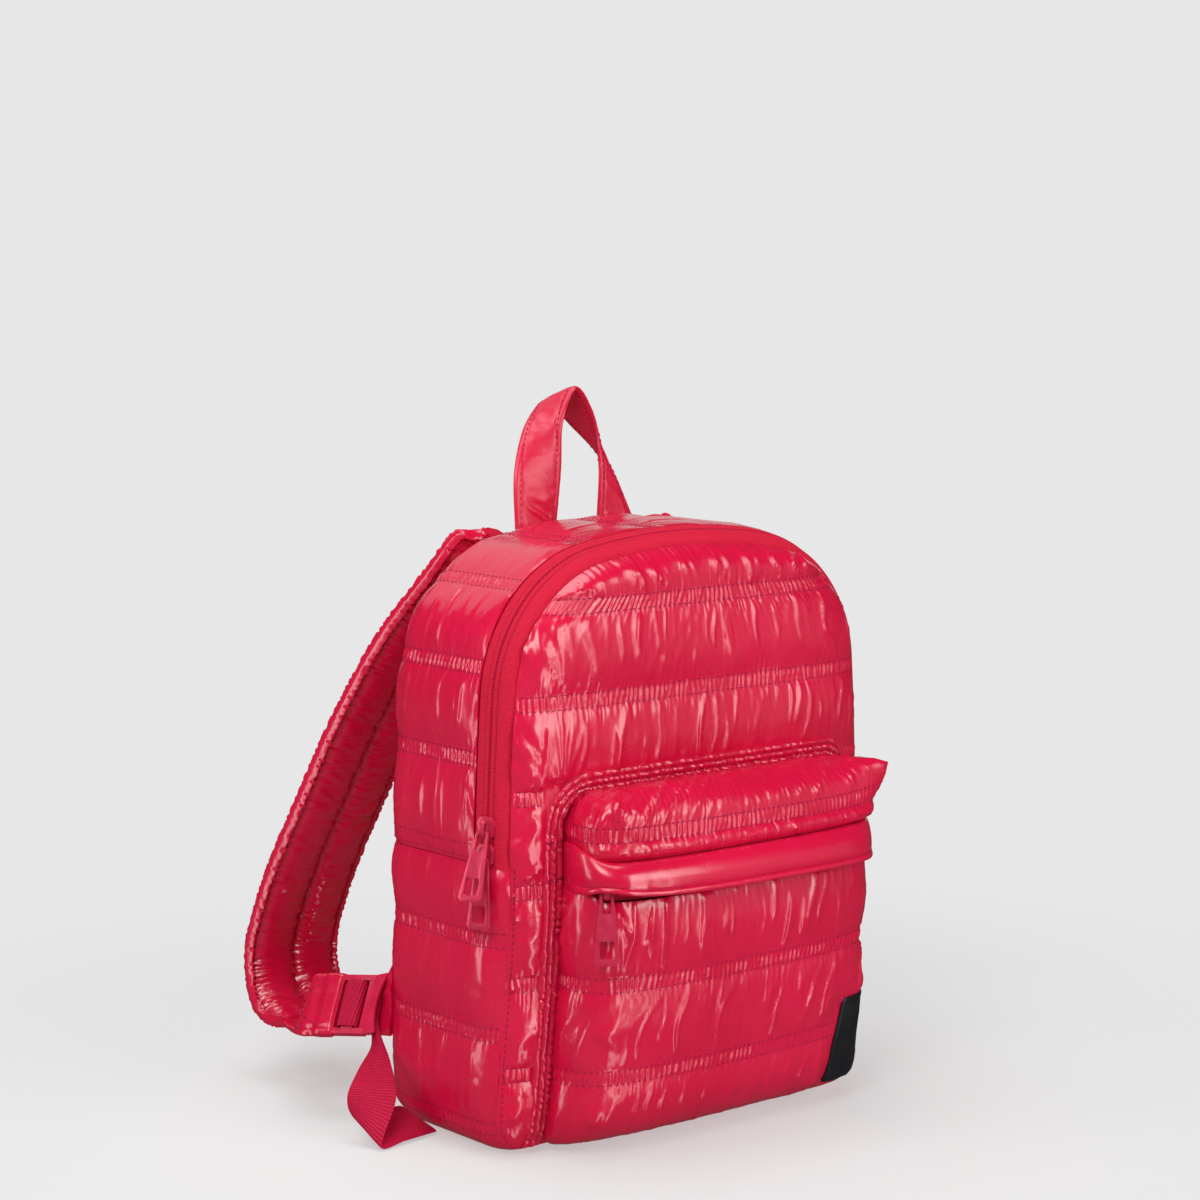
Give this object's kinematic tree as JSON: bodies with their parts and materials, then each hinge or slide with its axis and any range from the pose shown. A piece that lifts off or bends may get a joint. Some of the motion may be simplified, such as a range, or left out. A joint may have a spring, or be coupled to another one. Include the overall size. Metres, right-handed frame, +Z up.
{
  "type": "mini backpack",
  "caption": "Small padded backpack of quilted cloth with an arched zip, a full front pocket under a flap, a carry handle and adjustable shoulder straps.",
  "frame": {"origin": "on the floor under the middle of the base", "axes": "+Z up, -Y out of the front pocket, +X to the right as seen from the front"},
  "size_m": [0.3154, 0.2758, 0.3682],
  "materials": {
    "shell": "glossy coated nylon over wadding",
    "zip_tape": "matte woven tape",
    "zip_metal": "satin enamel",
    "lock": "moulded, satin",
    "webbing": "ribbed weave",
    "label": "dense black weave"
  },
  "bodies": {
    "bag": {"gusset_upper": "shell", "gusset_lower": "shell", "front_panel": "shell", "back_panel": "shell", "zip_tape_rear": "zip_tape", "zip_tape_front": "zip_tape", "main_slider_upper": "zip_metal", "main_slider_lower": "zip_metal", "pocket_lower": "shell", "pocket_upper": "shell", "pocket_flap": "shell", "pocket_zip": "zip_tape", "label_patch": "label", "pocket_slider": "zip_metal", "pocket_binding": "shell", "carry_handle": "shell", "strap_pad_left": "shell", "strap_end_left": "shell", "ladder_lock_left": "lock", "webbing_left": "webbing", "strap_wing_left": "shell", "strap_pad_right": "shell", "strap_end_right": "shell", "ladder_lock_right": "lock", "webbing_right": "webbing", "strap_wing_right": "shell"},
    "main_pull_upper": {"main_pull_upper": "zip_metal"},
    "main_pull_lower": {"main_pull_lower": "zip_metal"},
    "pocket_pull": {"pocket_pull": "zip_metal"}
  },
  "joints": [
    {"name": "main_pull_lower_hinge", "type": "hinge", "parent": "bag", "child": "main_pull_lower", "pos_m": [-0.12524, -0.03802, 0.14957], "axis": [-0.3949, 0.9187, 0.0102], "range_deg": [0, 150]},
    {"name": "main_pull_upper_hinge", "type": "hinge", "parent": "bag", "child": "main_pull_upper", "pos_m": [-0.12487, -0.03802, 0.16259], "axis": [-0.3949, 0.9187, 0.0132], "range_deg": [0, 150]},
    {"name": "pocket_pull_hinge", "type": "hinge", "parent": "bag", "child": "pocket_pull", "pos_m": [-0.08632, -0.08378, 0.135], "axis": [-0.7883, 0.6152, 0], "range_deg": [0, 60]}
  ],
  "couplings": [
    {"joint": "main_pull_upper_hinge", "follows": "main_pull_lower_hinge", "ratio": 1}
  ]
}
